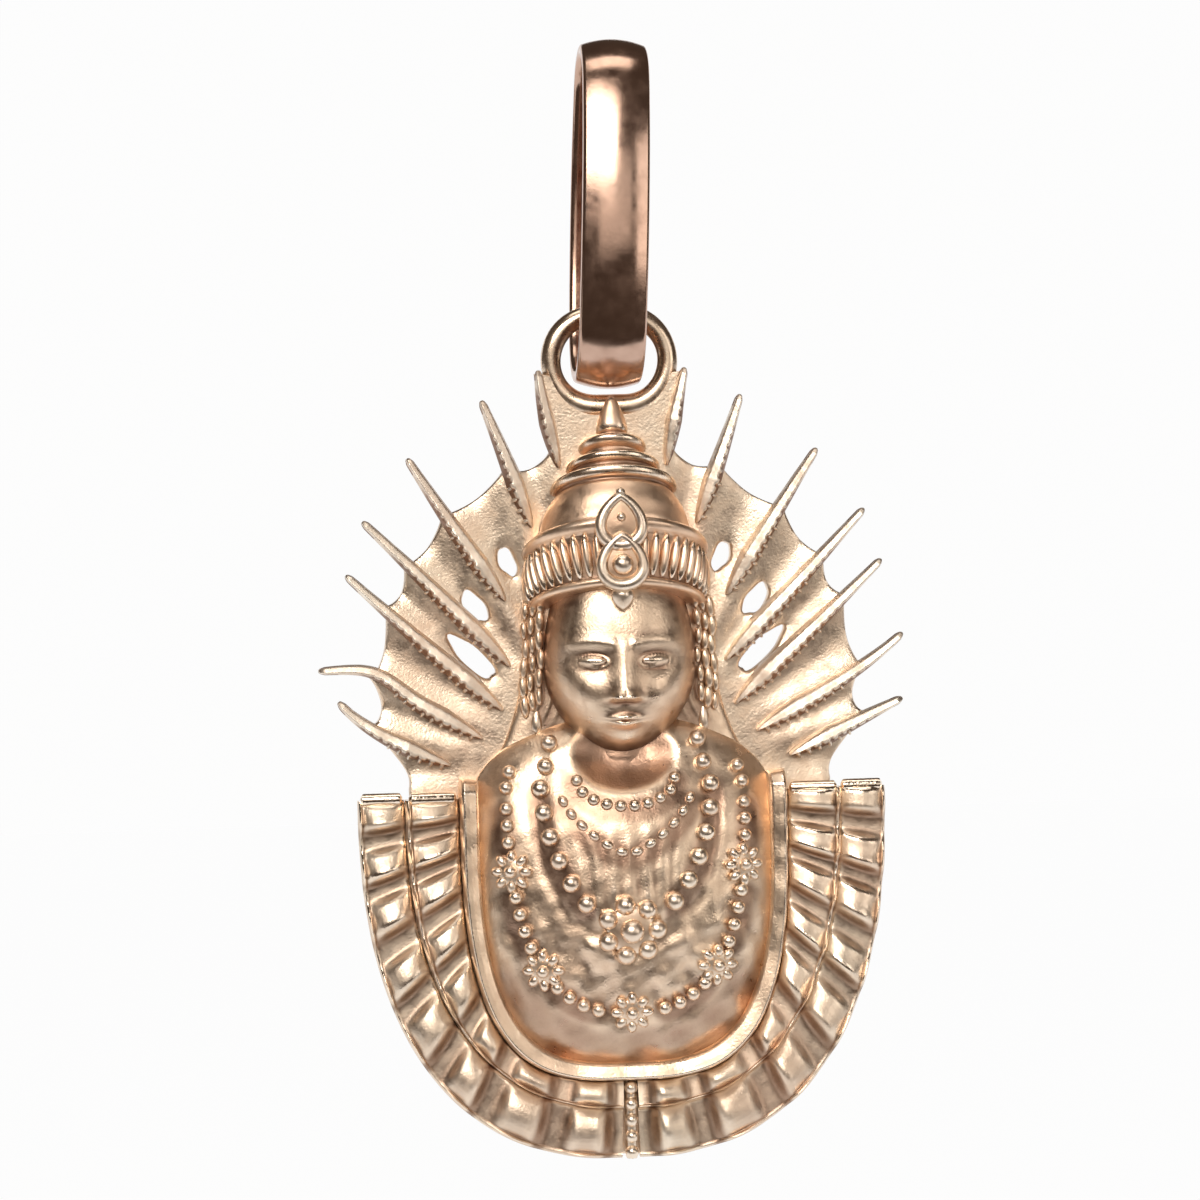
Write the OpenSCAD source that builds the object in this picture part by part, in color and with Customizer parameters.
// Devotional pendant: a crowned bust before a rayed halo, framed by a pleated skirt border,
// hung from a swinging bail. All sizes are in millimetres.
//
// The pieces are drawn in a bench frame, with the pendant lying on its back: u to the right,
// v up the pendant and h out of its front. Its origin is the fan centre on the front face of
// the back plate, the point that the rays and the pleats run out from.

/* [Bail] */
// Overall height of the bail
bail_h = 15.2; // [12:0.1:20]
// Width of the band
bail_w = 2.9; // [2:0.1:3]
// Thickness of the band at its crown
bail_t = 0.75; // [0.5:0.05:0.9]
// Thickness of the band at its edges
bail_edge_t = 0.3; // [0.2:0.05:0.4]
// Inside radius at the foot, round the pivot bar
bail_foot_r = 2.5; // [2.3:0.05:2.6]
// Inside radius at the head, where the chain sits
bail_head_r = 2.1; // [1.6:0.05:2.3]
// Inside radius of the bail's bowed sides
bail_side_r = 18; // [12:0.5:40]

/* [Suspension ring] */
// Thickness of the ring's wire
wire_d = 0.8; // [0.6:0.05:0.9]
// Half the height of the ring's opening
ring_in_r = 1.6; // [1.6:0.05:2]
// Length of the straight bar at the top and the foot of the ring
ring_bar_l = 1.1; // [1:0.05:1.6]
// Height of the ring's middle above the fan centre
ring_v = 18.8; // [18.7:0.1:21]

/* [Back plate] */
// Thickness of the plate
plate_t = 0.8; // [0.5:0.05:1]
// Radius of the halo
halo_r = 10.5; // [10:0.1:12]
// Height of the halo's middle above the fan centre
halo_v = 4.5; // [4:0.1:5]
// Depth of the scallops between the rays
scallop = 0.2; // [0.05:0.05:0.5]
// Depth of the longer scallop below the last ray
foot_scallop = 0.7; // [0.4:0.05:0.9]
// Rise of the plate's edge to the foot of each ray
ray_fillet = 0.35; // [0.1:0.05:0.5]
// Half width of the hanger tab at the ring
tab_w = 3.4; // [3.2:0.1:3.8]

/* [Rays] */
// Angle of the first ray from straight up
ray_first = 10; // [9.5:0.1:11]
// Mean angle from one ray to the next
ray_step = 10.6; // [10.2:0.1:10.8]
// Reach of the first ray from the fan centre
ray_reach_first = 18.7; // [17.8:0.1:19]
// Reach of the last ray from the fan centre
ray_reach_last = 13; // [12.2:0.1:14]
// Width of a ray at its root
ray_w = 0.92; // [0.7:0.02:0.94]
// Width of a ray at its tip
ray_tip_w = 0.34; // [0.2:0.02:0.4]
// Height of the milled strip under the ridge
ray_strip_h = 0.45; // [0.3:0.05:0.6]
// Height of the smooth ridge above the strip
ray_ridge_h = 0.32; // [0.2:0.02:0.36]
// Pitch of the milled notches
notch_pitch = 0.42; // [0.36:0.02:0.6]
// Depth of the milled notches
notch_d = 0.13; // [0.06:0.01:0.16]

/* [Pleated skirt] */
// Half width of the skirt
skirt_w = 11.5; // [11:0.1:13]
// Drop of the skirt below the fan centre
skirt_drop = 15.9; // [15.4:0.1:17]
// Pleats on each side
pleat_count = 8; // [6:1:10]
// Depth of the pleats
pleat_d = 0.62; // [0.3:0.02:0.8]
// Half width of the line between the two tiers
tier_w = 9.45; // [9:0.05:10]
// Drop of the line between the two tiers
tier_drop = 13.65; // [13.3:0.05:14.2]
// Thickness of the outer tier between its pleats
outer_tier_t = 0.55; // [0.4:0.05:0.8]
// Thickness of the inner tier between its pleats
inner_tier_t = 0.95; // [0.8:0.05:1.2]
// Height of the rolled lip along the edge of each tier
lip_h = 0.28; // [0.1:0.02:0.4]
// Thickness of the rolled end of each strip
roll_d = 0.56; // [0.4:0.02:0.7]
// Width of the wire that closes the seam at the bottom
seam_w = 0.5; // [0.4:0.05:0.7]

/* [Bust] */
// Half width of the bust
bust_w = 6.5; // [6.3:0.05:6.8]
// Drop of the bust below the fan centre
bust_drop = 11.8; // [11.4:0.05:12.2]
// Height of the shoulders above the fan centre
shoulder_v = 1.0; // [0.8:0.05:1.1]
// Relief of the bust at its highest point
bust_relief = 3.3; // [2.6:0.05:3.8]
// Fall of the relief from the middle of the bust to its edge
bust_fall = 1.7; // [1.2:0.05:1.8]
// Extra fall of the relief close to its edge
bust_roll = 0.5; // [0.2:0.05:0.6]
// Wall of the stamped shells
shell_t = 0.5; // [0.4:0.05:0.7]
// Width of the rim round the bust
rim_w = 0.62; // [0.4:0.02:0.66]
// Height of the rim round the bust
rim_h = 1.9; // [1.4:0.05:2.2]

/* [Head] */
// Half width of the face
face_w = 3.3; // [3:0.05:3.5]
// Height of the chin above the fan centre
chin_v = 1.7; // [1.6:0.05:1.9]
// Height of the hairline above the fan centre, before the crown covers it
hairline_v = 9.2; // [8.8:0.05:9.4]
// Relief of the face without its features
face_relief = 2.5; // [2:0.05:2.8]
// Radius of the neck
neck_r = 1.55; // [1.3:0.05:1.8]
// Thickness of the veil behind the head
veil_t = 0.5; // [0.3:0.05:0.7]
// Length of an ear drop
ear_drop_l = 1.9; // [1.4:0.05:2.2]
// Width of an ear drop
ear_drop_w = 0.6; // [0.4:0.05:0.7]

/* [Crown] */
// Half width of the crown's band
band_r = 4.05; // [3.8:0.05:4.2]
// Foot of the band above the fan centre, at the plate
band_foot_v = 7.6; // [7.4:0.05:7.8]
// Height of the band
band_h = 3.2; // [2.8:0.05:3.3]
// Reeds on the band
reed_count = 19; // [13:2:23]
// Depth of the reeds
reed_d = 0.16; // [0.08:0.01:0.2]
// Half width of the domed cap at its foot
cap_r = 3.45; // [3:0.05:3.5]
// Height of the domed cap
cap_h = 3.9; // [3.7:0.05:4]
// Height of the finial
finial_h = 2.7; // [2.4:0.05:2.75]
// Depth of the crown as a share of its half width
crown_depth = 0.8; // [0.6:0.02:0.9]
// Rise of the crown for each millimetre that it stands out
crown_lean = 0.42; // [0.2:0.02:0.46]

/* [Necklaces] */
// Diameter of a choker bead
choker_bead_d = 0.66; // [0.5:0.02:0.7]
// Diameter of a fine chain bead
chain_bead_d = 0.44; // [0.3:0.02:0.5]
// Diameter of a garland bead
garland_bead_d = 0.92; // [0.6:0.02:1]
// Diameter of an outer chain bead
border_bead_d = 0.6; // [0.4:0.02:0.7]
// Diameter of the flower on the garland
flower_d = 3.1; // [2.6:0.05:3.3]
// Diameter of a side rosette
rosette_d = 1.9; // [1.5:0.05:2]

/* [Fit] */
// Gap left for solder between pieces that stand side by side
solder_gap = 0.04; // [0.02:0.01:0.06]

/* [Hidden] */
$fn = 48;
gold = [0.80, 0.60, 0.46];
bright_gold = [0.88, 0.70, 0.56];
dark_gold = [0.62, 0.44, 0.33];

sides = ["left", "right"];

// Heights up the pendant, from the fan centre
ring_mid_r = ring_in_r + wire_d / 2;
pivot_v = ring_v + ring_mid_r;
bail_foot_v = pivot_v - bail_foot_r - bail_t;
bail_head_v = bail_foot_v + bail_h - bail_t - bail_head_r;
chain_seat_v = bail_head_v + bail_head_r;
cap_foot_v = band_foot_v + band_h;
finial_foot_v = cap_foot_v + cap_h;

// Each ray is set by hand, so it leaves the even fan a little. ray_set turns a whole ray and
// ray_root_turn its root, in degrees, and ray_root is the root's distance as a share of the halo.
ray_count = 7;
ray_set = [0, -2.4, 0, 0.4, -2.2, 1, -0.4];
ray_root = [1.44, 1.18, 0.93, 0.7, 0.6, 0.62, 0.72];
ray_root_turn = [-0.6, -1, -1.6, -2.4, 3.4, 3, 6];

skirt_n = 2.45;
bust_n = 3.2;
pleat_first = 4;
pleat_pitch = 90 / pleat_count;
chest_v = -bust_drop / 3;

// Stands the bench frame upright, with the middle of the plate in the plane y = 0
// and the chain seat at the origin
module upright() {
    translate([0, -plate_t / 2, -chain_seat_v]) rotate([90, 0, 0]) children();
}

// Puts children on both sides of the pendant's middle line
module on_side(side) {
    mirror([side == "left" ? 1 : 0, 0, 0]) children();
}

// Point at radius r and angle a from straight up, to the right
function fan(r, a) = [r * sin(a), r * cos(a)];

// Signed power, for superellipses
function spow(x, p) = sign(x) * pow(abs(x), p);

// Radius of a superellipse of half width w and drop d, at angle a below the horizontal
function drop_r(w, d, n, a) = pow(pow(abs(cos(a)) / w, n) + pow(abs(sin(a)) / d, n), -1 / n);

// Bell curve of width s
function bell(x, s) = exp(-x * x / (2 * s * s));

// A closed solid over a grid of front points, down to the plane h = 0.
// Rows run clockwise round the pendant and columns outward.
module grid_solid(rows) {
    n = len(rows) - 1;
    m = len(rows[0]) - 1;
    top = [for (r = rows) for (p = r) p];
    base = [for (r = rows) for (p = r) [p[0], p[1], 0]];
    count = len(top);
    function at(i, j) = i * (m + 1) + j;
    function under(i, j) = count + at(i, j);
    polyhedron(
        points = concat(top, base),
        faces = concat(
            [for (i = [0 : n - 1]) for (j = [0 : m - 1])
                each [[at(i, j), at(i, j + 1), at(i + 1, j + 1)],
                      [at(i, j), at(i + 1, j + 1), at(i + 1, j)],
                      [under(i, j), under(i + 1, j + 1), under(i, j + 1)],
                      [under(i, j), under(i + 1, j), under(i + 1, j + 1)]]],
            [for (i = [0 : n - 1])
                each [[under(i, m), at(i + 1, m), at(i, m)],
                      [under(i, m), under(i + 1, m), at(i + 1, m)],
                      [under(i, 0), at(i, 0), at(i + 1, 0)],
                      [under(i, 0), at(i + 1, 0), under(i + 1, 0)]]],
            [for (j = [0 : m - 1])
                each [[under(0, j), at(0, j + 1), at(0, j)],
                      [under(0, j), under(0, j + 1), at(0, j + 1)],
                      [under(n, j), at(n, j), at(n, j + 1)],
                      [under(n, j), at(n, j + 1), under(n, j + 1)]]]));
}

// A stamped relief over a closed outline, hollow behind. edge(t) is the outline, anticlockwise,
// front(p, s) the height of its front and back(p, s) the height of the hollow,
// where s runs from 0 at the centre to 1 at the edge.
module stamped(centre, edge, front, back, wall_s, rings, hollow_rings, spokes) {
    turn = 360 / spokes;
    function spot(s, j) = centre + s * (edge(j * turn) - centre);
    function lift(p, h) = [p[0], p[1], h];
    skin = [for (i = [1 : rings]) for (j = [0 : spokes - 1])
        let (s = i / rings, p = spot(s, j)) lift(p, front(p, s))];
    foot = [for (j = [0 : spokes - 1]) lift(spot(1, j), 0)];
    hollow = [for (i = [1 : hollow_rings]) for (j = [0 : spokes - 1])
        let (s = wall_s * i / hollow_rings, p = spot(s, j))
        lift(p, i == hollow_rings ? 0 : back(p, s))];
    first_foot = 1 + rings * spokes;
    first_hollow = first_foot + spokes;
    last = first_hollow + hollow_rings * spokes;
    function a(i, j) = 1 + (i - 1) * spokes + j % spokes;
    function f(j) = first_foot + j % spokes;
    function b(i, j) = first_hollow + (i - 1) * spokes + j % spokes;
    polyhedron(
        points = concat([lift(centre, front(centre, 0))], skin, foot, hollow,
                        [lift(centre, back(centre, 0))]),
        faces = concat(
            [for (j = [0 : spokes - 1])
                each [[0, a(1, j + 1), a(1, j)], [last, b(1, j), b(1, j + 1)],
                      [f(j), a(rings, j), a(rings, j + 1)], [f(j), a(rings, j + 1), f(j + 1)],
                      [b(hollow_rings, j), f(j), f(j + 1)],
                      [b(hollow_rings, j), f(j + 1), b(hollow_rings, j + 1)]]],
            [for (i = [1 : rings - 1]) for (j = [0 : spokes - 1])
                each [[a(i, j), a(i, j + 1), a(i + 1, j + 1)],
                      [a(i, j), a(i + 1, j + 1), a(i + 1, j)]]],
            [for (i = [1 : hollow_rings - 1]) for (j = [0 : spokes - 1])
                each [[b(i, j), b(i + 1, j + 1), b(i, j + 1)],
                      [b(i, j), b(i + 1, j), b(i + 1, j + 1)]]]));
}

// Half of a turned form, flat against the plate. profile lists [radius, v] upwards, swell(a)
// adds to the radius at angle a from the front, and the form rises by lean as it stands out.
module half_turned(profile, steps, swell = function(a) 0, depth = crown_depth, lean = crown_lean) {
    n = len(profile) - 1;
    function spot(i, j) =
        let (a = -90 + 180 * j / steps,
             r = profile[i][0] + swell(a),
             h = r * cos(a) * depth)
        [r * sin(a), profile[i][1] + lean * h, h];
    function at(i, j) = i * (steps + 1) + j;
    polyhedron(
        points = [for (i = [0 : n]) for (j = [0 : steps]) spot(i, j)],
        faces = concat(
            [for (i = [0 : n - 1]) for (j = [0 : steps - 1])
                each [[at(i, j), at(i + 1, j), at(i + 1, j + 1)],
                      [at(i, j), at(i + 1, j + 1), at(i, j + 1)]]],
            [for (i = [0 : n - 1])
                each [[at(i, 0), at(i, steps), at(i + 1, steps)],
                      [at(i, 0), at(i + 1, steps), at(i + 1, 0)]]],
            [for (j = [1 : steps - 1])
                each [[at(0, 0), at(0, j), at(0, j + 1)], [at(n, 0), at(n, j + 1), at(n, j)]]]));
}

// Bail: a half-round band bent into an egg of four arcs, round the pivot bar at its foot. The
// bowed sides run into the foot and the head. Each place on the path is [centre, radius, angle].
// Drawn with its axis along z, then turned so that the axis lies across the pendant.
bail_rise = bail_head_v - pivot_v;
foot_reach = bail_side_r - bail_foot_r;
head_reach = bail_side_r - bail_head_r;
side_up = (pow(foot_reach, 2) - pow(head_reach, 2) + pow(bail_rise, 2)) / (2 * bail_rise);
side_out = sqrt(pow(foot_reach, 2) - pow(side_up, 2));
foot_a = -atan2(side_up, side_out);
head_a = atan2(bail_rise - side_up, side_out);
foot_steps = 20;
side_steps = 8;
head_steps = 18;
crown_steps = 8;
bail_path = concat(
    [for (i = [0 : foot_steps])
        [[0, 0], bail_foot_r, 180 - foot_a + (180 + 2 * foot_a) * i / foot_steps]],
    [for (i = [1 : side_steps - 1])
        [[-side_out, side_up], bail_side_r, foot_a + (head_a - foot_a) * i / side_steps]],
    [for (i = [0 : head_steps])
        [[0, bail_rise], bail_head_r, head_a + (180 - 2 * head_a) * i / head_steps]],
    [for (i = [1 : side_steps - 1])
        [[side_out, side_up], bail_side_r, 180 - head_a + (head_a - foot_a) * i / side_steps]]);
bail_section = concat(
    [[0, -bail_w / 2]],
    [for (k = [0 : crown_steps])
        let (f = 2 * k / crown_steps - 1)
        [bail_t - (bail_t - bail_edge_t) * f * f, f * bail_w / 2]],
    [[0, bail_w / 2]]);

module bail() {
    n = len(bail_path);
    m = len(bail_section);
    function at(i, k) = (i % n) * m + k % m;
    color(gold)
    translate([0, 0, pivot_v - chain_seat_v]) rotate([90, 0, 90]) polyhedron(
        points = [for (p = bail_path) for (q = bail_section)
            let (r = p[1] + q[0]) [p[0][0] + r * cos(p[2]), p[0][1] + r * sin(p[2]), q[1]]],
        faces = [for (i = [0 : n - 1]) for (k = [0 : m - 1])
            each [[at(i, k), at(i, k + 1), at(i + 1, k + 1)],
                  [at(i, k), at(i + 1, k + 1), at(i + 1, k)]]]);
}

// Suspension ring: an oval of round wire whose straight top bar is the pivot
module suspension_ring() {
    color(bright_gold) upright() translate([0, ring_v, -plate_t / 2]) {
        for (side = sides) on_side(side) {
            translate([ring_bar_l / 2, 0, 0]) rotate([0, 0, -90])
                rotate_extrude(angle = 180) translate([ring_mid_r, 0]) circle(wire_d / 2);
        }
        for (v = [-ring_mid_r, ring_mid_r]) {
            translate([-ring_bar_l / 2, v, 0]) rotate([0, 90, 0]) cylinder(h = ring_bar_l, d = wire_d);
        }
    }
}

// Back plate: hanger tab, halo with scallops between the rays and skirt backing in one sheet
function ray_angle(i) = ray_first + ray_step * i + ray_set[i];
function halo_edge(a) = halo_v * cos(a) + sqrt(halo_r * halo_r - pow(halo_v * sin(a), 2));

halo_steps = 10;
fillet_share = 0.09;
halo_foot_a = 94;
halo_stops = concat([for (i = [0 : ray_count - 1]) ray_angle(i)], [halo_foot_a]);
halo_half = concat(
    [[tab_w, ring_v]],
    [for (i = [0 : ray_count - 1]) for (k = [0 : halo_steps - 1])
        let (f = k / halo_steps,
             a = halo_stops[i] + f * (halo_stops[i + 1] - halo_stops[i]),
             depth = i == ray_count - 1 ? foot_scallop : scallop)
        fan(halo_edge(a) - depth * pow(sin(180 * f), 2)
            + ray_fillet * (exp(-f / fillet_share) + exp((f - 1) / fillet_share)), a)],
    [fan(halo_edge(halo_foot_a), halo_foot_a)]);

module halo_outline() {
    polygon(concat(halo_half,
        [for (i = [len(halo_half) - 1 : -1 : 0]) [-halo_half[i][0], halo_half[i][1]]]));
}

module skirt_outline() {
    skirt_steps = 72;
    polygon([for (i = [0 : skirt_steps])
        let (a = 180 * i / skirt_steps, r = drop_r(skirt_w, skirt_drop, skirt_n, a))
        [r * cos(a), -r * sin(a)]]);
}

module ring_seat() {
    seat_r = ring_mid_r + wire_d / 2 + solder_gap;
    translate([0, ring_v]) {
        for (u = [-ring_bar_l / 2, ring_bar_l / 2]) translate([u, 0]) circle(seat_r);
        square([ring_bar_l, 2 * seat_r], center = true);
    }
}

// Pierced openings beside the head: the gap between rays that each one lies in, then its
// distance out, half width and half length as shares of the halo
pierced = [[1, 1.065, 0.033, 0.063], [2, 0.98, 0.04, 0.074], [3, 0.834, 0.04, 0.124]];

module pierced_openings() {
    for (side = sides) for (p = pierced) {
        a = (ray_angle(p[0]) + ray_angle(p[0] + 1)) / 2;
        on_side(side) translate(fan(halo_r * p[1], a)) rotate(-a)
            polygon([for (t = [0 : 15 : 345]) halo_r * [p[2] * cos(t), p[3] * sin(t)]]);
    }
}

module back_plate() {
    color(dark_gold) upright() translate([0, 0, -plate_t]) linear_extrude(plate_t) {
        difference() {
            union() {
                halo_outline();
                skirt_outline();
            }
            ring_seat();
            pierced_openings();
        }
    }
}

// Ray: a tapered strip with milled edges under a smooth ridge, from its root to its tip
milled_share = 0.8;
reach_curve = 1.25;

module ray(side, i) {
    root = fan(halo_r * ray_root[i], ray_angle(i) + ray_root_turn[i]);
    reach = ray_reach_first + (ray_reach_last - ray_reach_first) * pow(i / (ray_count - 1), reach_curve);
    tip = fan(reach, ray_angle(i));
    run = tip - root;
    l = norm(run);
    notches = floor(l * milled_share / notch_pitch);
    function half_w(x) = (ray_w + (ray_tip_w - ray_w) * x / l) / 2;
    milled_edge = [for (k = [0 : notches - 1])
        let (x = k * notch_pitch)
        each [[x, half_w(x)], [x + notch_pitch / 2, half_w(x) - notch_d * half_w(x) * 2 / ray_w]]];
    edge = concat(milled_edge, [[notches * notch_pitch, half_w(notches * notch_pitch)],
                                [l, ray_tip_w / 2]]);
    color(bright_gold) upright() on_side(side)
    translate([root[0], root[1], 0]) rotate([0, 0, atan2(run[1], run[0])]) {
        linear_extrude(ray_strip_h)
            polygon(concat(edge, [for (k = [len(edge) - 1 : -1 : 0]) [edge[k][0], -edge[k][1]]]));
        translate([0, 0, ray_strip_h]) rotate([0, 90, 0])
            cylinder(h = l, r1 = min(ray_ridge_h, ray_strip_h), r2 = ray_tip_w / 2.5);
    }
}

module ray_left_1() { ray("left", 0); }
module ray_left_2() { ray("left", 1); }
module ray_left_3() { ray("left", 2); }
module ray_left_4() { ray("left", 3); }
module ray_left_5() { ray("left", 4); }
module ray_left_6() { ray("left", 5); }
module ray_left_7() { ray("left", 6); }
module ray_right_1() { ray("right", 0); }
module ray_right_2() { ray("right", 1); }
module ray_right_3() { ray("right", 2); }
module ray_right_4() { ray("right", 3); }
module ray_right_5() { ray("right", 4); }
module ray_right_6() { ray("right", 5); }
module ray_right_7() { ray("right", 6); }

// Skirt: two tiers of radial pleats on each side, the inner tier standing over the outer one
pleat_steps = 6;
skirt_rows = pleat_count * pleat_steps;
seam_a = asin((seam_w / 2 + solder_gap) / bust_drop);
tier_rise = 0.2;

function pleat(a) = pleat_d * pow(cos(180 * (a - pleat_first) / pleat_pitch), 2);

module skirt_tier(side, in_w, in_drop, in_n, out_w, out_drop, out_n, base_t, rise, fade) {
    // [share of the way out, share of the pleat, share of the lip]
    profile = [[0, 0.55, 0], [0.22, 0.95, 0], [0.6, 1, 0], [0.86, 0.7, 0], [0.93, 0.45, 1], [1, 0.45, 0.7]];
    function row(i) =
        let (a = (90 - seam_a) * i / skirt_rows,
             r_in = drop_r(in_w, in_drop, in_n, a),
             r_out = drop_r(out_w, out_drop, out_n, a),
             d = pleat(a) * (1 - fade * a / 90))
        [for (p = profile)
            let (r = r_in + p[0] * (r_out - r_in))
            [r * cos(a), -r * sin(a), base_t + rise * p[0] + d * p[1] + lip_h * p[2]]];
    roll_l = out_w - in_w - roll_d;
    color(gold) upright() on_side(side) {
        grid_solid([for (i = [0 : skirt_rows]) row(i)]);
        translate([in_w + roll_d / 2, 0, base_t + rise / 2]) rotate([0, 90, 0])
            cylinder(h = roll_l, d = roll_d, $fn = 20);
    }
}

module skirt_outer(side) {
    skirt_tier(side, tier_w + solder_gap, tier_drop + solder_gap, skirt_n,
               skirt_w, skirt_drop, skirt_n, outer_tier_t, 0, 0);
}

module skirt_inner(side) {
    skirt_tier(side, bust_w + rim_w + solder_gap, bust_drop + rim_w + solder_gap, bust_n,
               tier_w, tier_drop, skirt_n, inner_tier_t, tier_rise, 0.6);
}

module skirt_left_outer() { skirt_outer("left"); }
module skirt_left_inner() { skirt_inner("left"); }
module skirt_right_outer() { skirt_outer("right"); }
module skirt_right_inner() { skirt_inner("right"); }

// Seam wire: a short beaded wire that closes the skirt at the bottom
module skirt_seam_wire() {
    top_v = -(bust_drop + rim_w + 2 * solder_gap);
    l = skirt_drop + top_v;
    seam_beads = 4;
    color(bright_gold) upright() intersection() {
        for (k = [0 : seam_beads - 1]) {
            translate([0, top_v - (k + 0.5) * l / seam_beads, inner_tier_t])
                sphere(d = seam_w);
        }
        translate([-seam_w, -skirt_drop, 0]) cube([2 * seam_w, l, inner_tier_t + seam_w]);
    }
    color(bright_gold) upright()
        translate([-seam_w / 4, -skirt_drop, 0]) cube([seam_w / 2, l, inner_tier_t]);
}

// Bust: a convex stamped shell inside a raised rim
function bust_edge(t) =
    t <= 180
        ? [bust_w * spow(cos(t), 2 / bust_n), shoulder_v * spow(sin(t), 2 / bust_n)]
        : let (a = t - 180, r = drop_r(bust_w, bust_drop, bust_n, a)) [-r * cos(a), -r * sin(a)];
bust_mid_v = (shoulder_v - bust_drop) / 2;
bust_half_l = (shoulder_v + bust_drop) / 2;
function bust_reach(p) = pow(pow(abs(p[0]) / bust_w, bust_n)
                             + pow(abs(p[1] - bust_mid_v) / bust_half_l, bust_n), 1 / bust_n);
function bust_front(p) =
    bust_relief - bust_fall * (pow(p[0] / bust_w, 2)
                               + pow((p[1] - chest_v) / (bust_drop + chest_v), 2))
    - bust_roll * pow(min(1, bust_reach(p)), 8);

module bust_shell() {
    centre = [0, chest_v];
    color(gold) upright()
        stamped(centre, function(t) bust_edge(t),
                function(p, s) bust_front(p), function(p, s) bust_front(p) - shell_t,
                1 - shell_t / bust_w, 11, 4, 60);
}

module bust_rim() {
    rim_steps = 60;
    rim_first = -7;
    profile = [[0, 0.72], [0.3, 1], [0.65, 0.96], [1, 0.45]];
    function row(i) =
        let (a = rim_first + (180 - 2 * rim_first) * i / rim_steps,
             inner = a < 0 || a > 180
                 ? bust_w + solder_gap
                 : drop_r(bust_w + solder_gap, bust_drop + solder_gap, bust_n, a),
             outer = a < 0 || a > 180
                 ? bust_w + rim_w
                 : drop_r(bust_w + rim_w, bust_drop + rim_w, bust_n, a))
        [for (p = profile)
            let (r = inner + p[0] * (outer - inner)) [r * cos(a), -r * sin(a), rim_h * p[1]]];
    color(bright_gold) upright() grid_solid([for (i = [0 : rim_steps]) row(i)]);
}

// Veil: a flat backing behind the head that flares from the crown to the shoulders
veil_foot_w = 5.8;
veil_head_w = 4.1;

module veil() {
    veil_steps = 10;
    foot = shoulder_v + solder_gap;
    head = band_foot_v - solder_gap;
    flare = [for (i = [0 : veil_steps])
        let (f = i / veil_steps)
        [veil_head_w + (veil_foot_w - veil_head_w) * pow(f, 3), head + (foot - head) * f]];
    color(gold) upright() linear_extrude(veil_t)
        polygon(concat(flare, [for (i = [veil_steps : -1 : 0]) [-flare[i][0], flare[i][1]]]));
}

// Neck: a short round collar between the bust and the chin
module neck() {
    color(gold) upright() translate([0, 0, veil_t])
        half_turned([[neck_r, shoulder_v + solder_gap], [neck_r, chin_v - solder_gap]], 16, lean = 0);
}

// Face: a calm oval on even proportions, with the brow at two thirds and the base of the nose
// at one third of the height from the chin to the hairline, and eyes one eye's width apart
face_mid = [0, (chin_v + hairline_v) / 2];
face_l = hairline_v - chin_v;
brow_v = chin_v + 0.66 * face_l;
eye_v = chin_v + 0.55 * face_l;
nose_v = chin_v + 0.34 * face_l;
mouth_v = chin_v + 0.21 * face_l;
eye_u = face_w * 0.42;

function face_edge(t) =
    let (jaw = t > 180 ? 1.75 : 2.3)
    face_mid + [face_w * spow(cos(t), 2 / jaw), face_l / 2 * spow(sin(t), 2 / jaw)];
function face_form(p, s) =
    let (u = abs(p[0]), v = p[1], e = face_w / 10)
    face_relief * pow(max(0, 1 - pow(s, 2.6)), 0.55) + 0.75 * e
    + 1.5 * e * bell(u, e) * bell(v - nose_v - 0.12 * face_l, 0.13 * face_l)
    + 1.1 * e * bell(u, 1.3 * e) * bell(v - nose_v, 0.9 * e)
    + 0.5 * e * bell(u - eye_u, 2.7 * e) * bell(v - brow_v, 0.85 * e)
    - 0.9 * e * bell(u - eye_u, 1.8 * e) * bell(v - eye_v, 1.3 * e)
    + 0.8 * e * bell(u - eye_u, 1.1 * e) * bell(v - eye_v, 0.7 * e)
    + 0.8 * e * bell(u, 1.9 * e) * bell(v - mouth_v, 0.7 * e)
    + 0.7 * e * bell(u, 1.8 * e) * bell(v - chin_v - 0.08 * face_l, 1.2 * e)
    + 0.4 * e * bell(u - face_w * 0.5, 2.1 * e) * bell(v - nose_v, 2.1 * e);

module face() {
    wedge_v = band_foot_v - solder_gap;
    color(gold) upright() difference() {
        translate([0, 0, veil_t])
            stamped(face_mid, function(t) face_edge(t),
                    function(p, s) face_form(p, s),
                    function(p, s) max(0, face_relief * (1 - s * s) - shell_t),
                    1 - shell_t / face_w, 18, 4, 56);
        translate([0, wedge_v, 0]) rotate([-atan(crown_lean), 0, 0])
            translate([-2 * face_w, 0, -2 * face_l]) cube([4 * face_w, face_l, 4 * face_l]);
    }
}

// Crown: a reeded band, a domed cap of three steps and a finial, all leaning back
module crown_band() {
    foot = band_foot_v;
    reeds = function(a) reed_d * (cos(2 * reed_count * a) - 1) / 2;
    color(gold) upright()
        half_turned([[0.975 * band_r, foot], [band_r, foot + 0.15 * band_h],
                     [band_r, foot + 0.7 * band_h], [0.965 * band_r, foot + 0.85 * band_h],
                     [0.975 * band_r, foot + band_h]], 4 * reed_count, reeds);
}

module crown_cap() {
    function at(r, f) = [cap_r * r, cap_foot_v + cap_h * f];
    color(gold) upright()
        half_turned([at(0.97, 0), at(0.95, 0.14), at(0.88, 0.34), at(0.76, 0.53), at(0.79, 0.59),
                     at(0.77, 0.66), at(0.64, 0.7), at(0.56, 0.77), at(0.585, 0.82),
                     at(0.56, 0.89), at(0.4, 0.94), at(0.38, 1)], 24);
}

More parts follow.
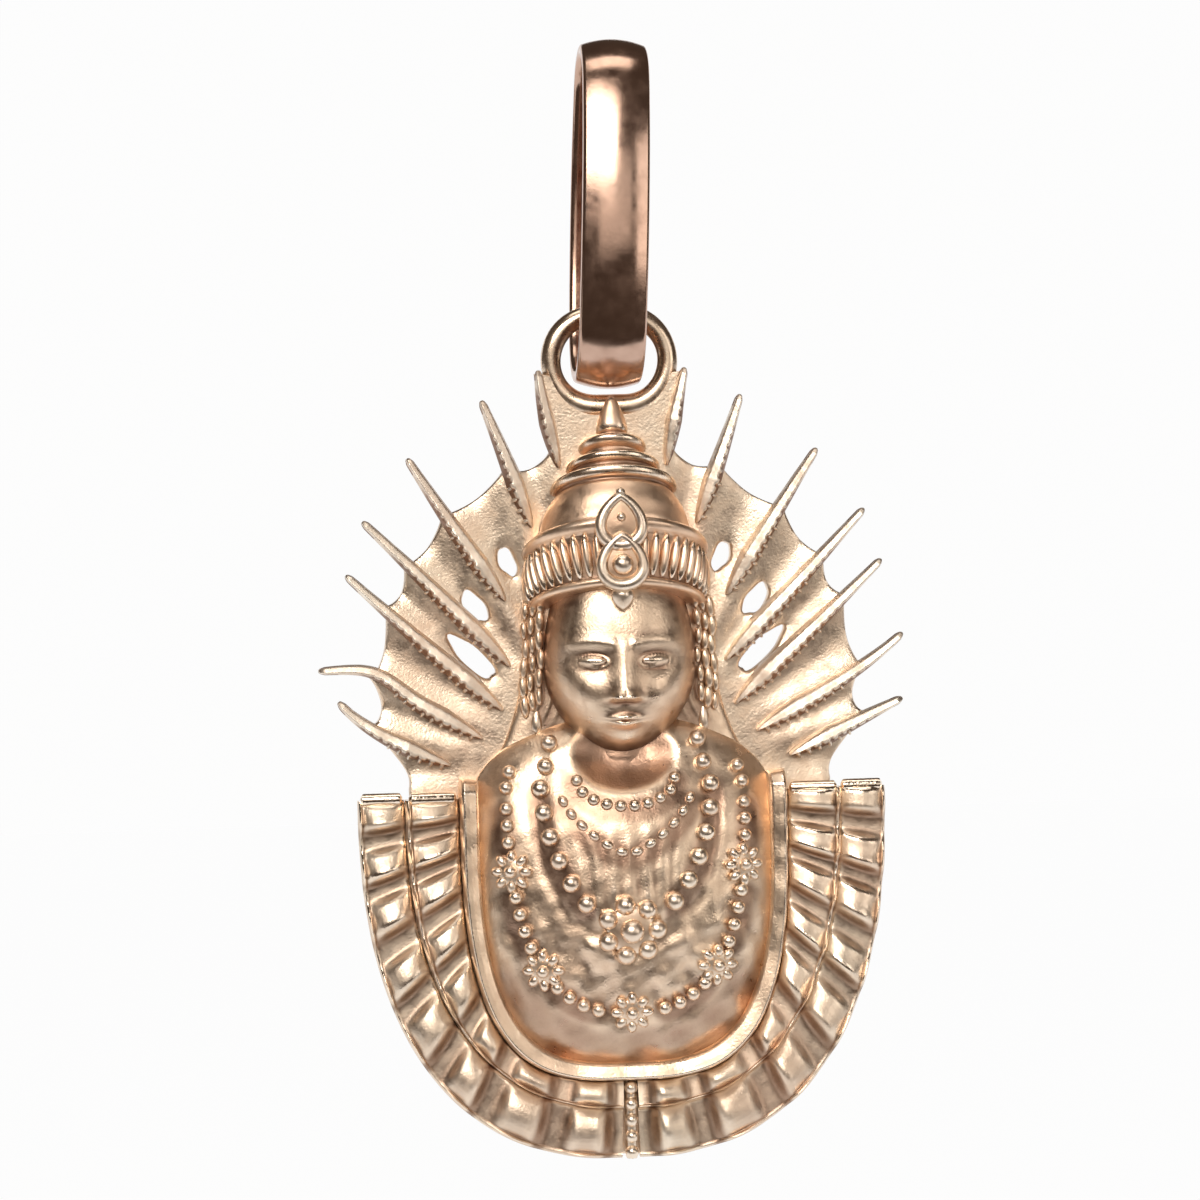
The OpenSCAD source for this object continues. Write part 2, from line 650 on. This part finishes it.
module crown_finial() {
    function at(r, f) = [r, finial_foot_v + finial_h * f];
    color(bright_gold) upright()
        half_turned([at(0.38 * cap_r, 0), at(0.43 * cap_r, 0.07), at(0.42 * cap_r, 0.17),
                     at(0.3 * cap_r, 0.26), at(0.19 * cap_r, 0.31), at(0.2 * cap_r, 0.44),
                     at(0.16 * cap_r, 0.62), at(0.1 * cap_r, 0.82), at(0.035 * cap_r, 1)], 16);
}

// Plaque: two leaf frames and a bead, standing on the front of the band
plaque_t = 0.11 * band_r;
plaque_v = band_foot_v + crown_lean * band_r * crown_depth;

module leaf(w, l) {
    leaf_steps = 24;
    polygon([for (i = [0 : 2 * leaf_steps - 1])
        let (a = 180 * i / leaf_steps)
        [w / 2 * sin(a) * pow(abs(cos(a / 2)), 0.6), l * (1 - cos(a)) / 2]]);
}

module crown_plaque() {
    leaf_w = 0.62 * band_r;
    leaf_l = 0.78 * band_h;
    leaf_frame = 0.155 * leaf_w;
    upper_v = plaque_v + 0.53 * band_h;
    color(bright_gold) upright() translate([0, 0, band_r * crown_depth]) {
        for (v = [plaque_v, upper_v]) {
            translate([0, v, 0]) {
                linear_extrude(plaque_t * 0.6) leaf(leaf_w, leaf_l);
                linear_extrude(plaque_t) difference() {
                    leaf(leaf_w, leaf_l);
                    translate([0, leaf_frame]) leaf(leaf_w - 2 * leaf_frame, leaf_l - 2 * leaf_frame);
                }
            }
        }
        translate([0, plaque_v + leaf_l * 0.4, plaque_t * 0.6]) granule(0.31 * leaf_w);
    }
}

// Ear drop: a long drop at the side of the face
ear_drop_u = face_w + 0.5 * ear_drop_w + solder_gap;
ear_drop_v = chin_v + 0.12 * face_l;

module ear_drop(side) {
    function at(r, f) = [ear_drop_w / 2 * r, ear_drop_v + ear_drop_l * f];
    color(bright_gold) upright() on_side(side) translate([ear_drop_u, 0, veil_t])
        half_turned([at(0.3, 0), at(0.85, 0.12), at(1, 0.28), at(0.8, 0.5), at(0.4, 0.8),
                     at(0.25, 1)], 10, depth = 1, lean = 0);
}

module ear_drop_left() { ear_drop("left"); }
module ear_drop_right() { ear_drop("right"); }

// Granules: round beads, each with a flat foot that stands square on the bust
function bust_slope(p) =
    let (e = 0.01)
    [(bust_front(p + [e, 0]) - bust_front(p - [e, 0])) / (2 * e),
     (bust_front(p + [0, e]) - bust_front(p - [0, e])) / (2 * e)];

module on_bust(p) {
    g = bust_slope(p);
    translate([p[0], p[1], bust_front(p)])
        rotate([0, atan(norm(g)), atan2(-g[1], -g[0])]) children();
}

granule_sink = 0.3;

module granule(d) {
    rotate_extrude() intersection() {
        translate([0, d * (0.5 - granule_sink)]) circle(d = d);
        square(2 * d);
    }
}

// Places along a path at an even pitch. path(f) gives the place at share f of the way.
function even(path, pitch) =
    let (steps = 100,
         run = [for (i = 0, l = 0; i <= steps;
                     l = l + norm(path(min(1, (i + 1) / steps)) - path(i / steps)), i = i + 1)
                   [l, i / steps]],
         l = run[steps][0],
         count = floor(l / pitch))
    [for (k = [0 : count]) path(lookup(l * k / count, run))];

// Beads along a path on the bust
module strand(path, d, pitch) {
    color(bright_gold) upright() for (p = even(path, pitch)) on_bust(p) granule(d);
}

// A hanging curve of half width w that drops from top_v to foot_v, from angle a0 to angle a1
function swag(w, top_v, foot_v, n, a0, a1) = function(f)
    let (a = a0 + (a1 - a0) * f)
    [w * spow(cos(a), 2 / n), top_v - (top_v - foot_v) * spow(sin(a), 2 / n)];

bead_pitch = 1.12;

choker_w = 2.1;
choker_drop = 1.45;
module choker_beads() {
    strand(swag(choker_w, shoulder_v - 0.6 * choker_bead_d, shoulder_v - choker_drop, 2, 0, 180),
           choker_bead_d, choker_bead_d * bead_pitch);
}

chain_w = 2.75;
chain_top_v = -0.1;
chain_foot_v = -2.45;
module fine_chain_beads() {
    strand(swag(chain_w, chain_top_v, chain_foot_v, 1.35, 6, 174),
           chain_bead_d, chain_bead_d * bead_pitch);
}

garland_w = 3.65;
garland_top_v = 0.35;
garland_foot_v = -6.1;
garland_end_a = 56;
module garland_beads() {
    for (side = sides)
        strand(swag(side == "left" ? -garland_w : garland_w, garland_top_v, garland_foot_v, 1.75,
                    0, garland_end_a),
               garland_bead_d, garland_bead_d * bead_pitch);
}

// A flower of round petals on a thin disc, petal and heart given as shares of its diameter
module flower(d, petals, petal, heart) {
    petal_d = d * petal;
    foot_t = petal_d / 4;
    cylinder(h = foot_t, d = d - petal_d);
    for (k = [0 : petals - 1])
        rotate([0, 0, 360 * (k + 0.5) / petals]) translate([(d - petal_d) / 2, 0, 0]) granule(petal_d);
    translate([0, 0, foot_t]) granule(d * heart);
}

module garland_flower() {
    color(bright_gold) upright() on_bust([0, garland_foot_v]) flower(flower_d, 7, 0.27, 0.34);
}

// Border chain: beads down each side of the bust, between the rosettes
border_w = 5.1;
border_foot_v = -9.3;
border_n = 2.6;
function border(a) = [border_w * spow(cos(a), 2 / border_n), border_foot_v * spow(sin(a), 2 / border_n)];
rosette_upper_a = 14;
rosette_lower_a = 48;

function on_left(p) = [-p[0], p[1]];
border_runs = [[1.2, 7.2], [22, 37], [58.5, 76]];

module border_chain_beads() {
    for (run = border_runs) {
        path = function(f) border(run[0] + (run[1] - run[0]) * f);
        strand(path, border_bead_d, border_bead_d * bead_pitch);
        strand(function(f) on_left(path(f)), border_bead_d, border_bead_d * bead_pitch);
    }
}

module rosette(p) {
    color(bright_gold) upright() on_bust(p) flower(rosette_d, 8, 0.26, 0.29);
}

module rosette_left_upper() { rosette(on_left(border(rosette_upper_a))); }
module rosette_right_upper() { rosette(border(rosette_upper_a)); }
module rosette_left_lower() { rosette(on_left(border(rosette_lower_a))); }
module rosette_right_lower() { rosette(border(rosette_lower_a)); }
module rosette_bottom() { rosette([0, border_foot_v]); }

bail();
back_plate();
suspension_ring();
ray_left_1();
ray_left_2();
ray_left_3();
ray_left_4();
ray_left_5();
ray_left_6();
ray_left_7();
ray_right_1();
ray_right_2();
ray_right_3();
ray_right_4();
ray_right_5();
ray_right_6();
ray_right_7();
skirt_left_outer();
skirt_left_inner();
skirt_right_outer();
skirt_right_inner();
skirt_seam_wire();
bust_shell();
bust_rim();
veil();
neck();
face();
crown_band();
crown_cap();
crown_finial();
crown_plaque();
ear_drop_left();
ear_drop_right();
choker_beads();
fine_chain_beads();
garland_beads();
garland_flower();
border_chain_beads();
rosette_left_upper();
rosette_right_upper();
rosette_left_lower();
rosette_right_lower();
rosette_bottom();
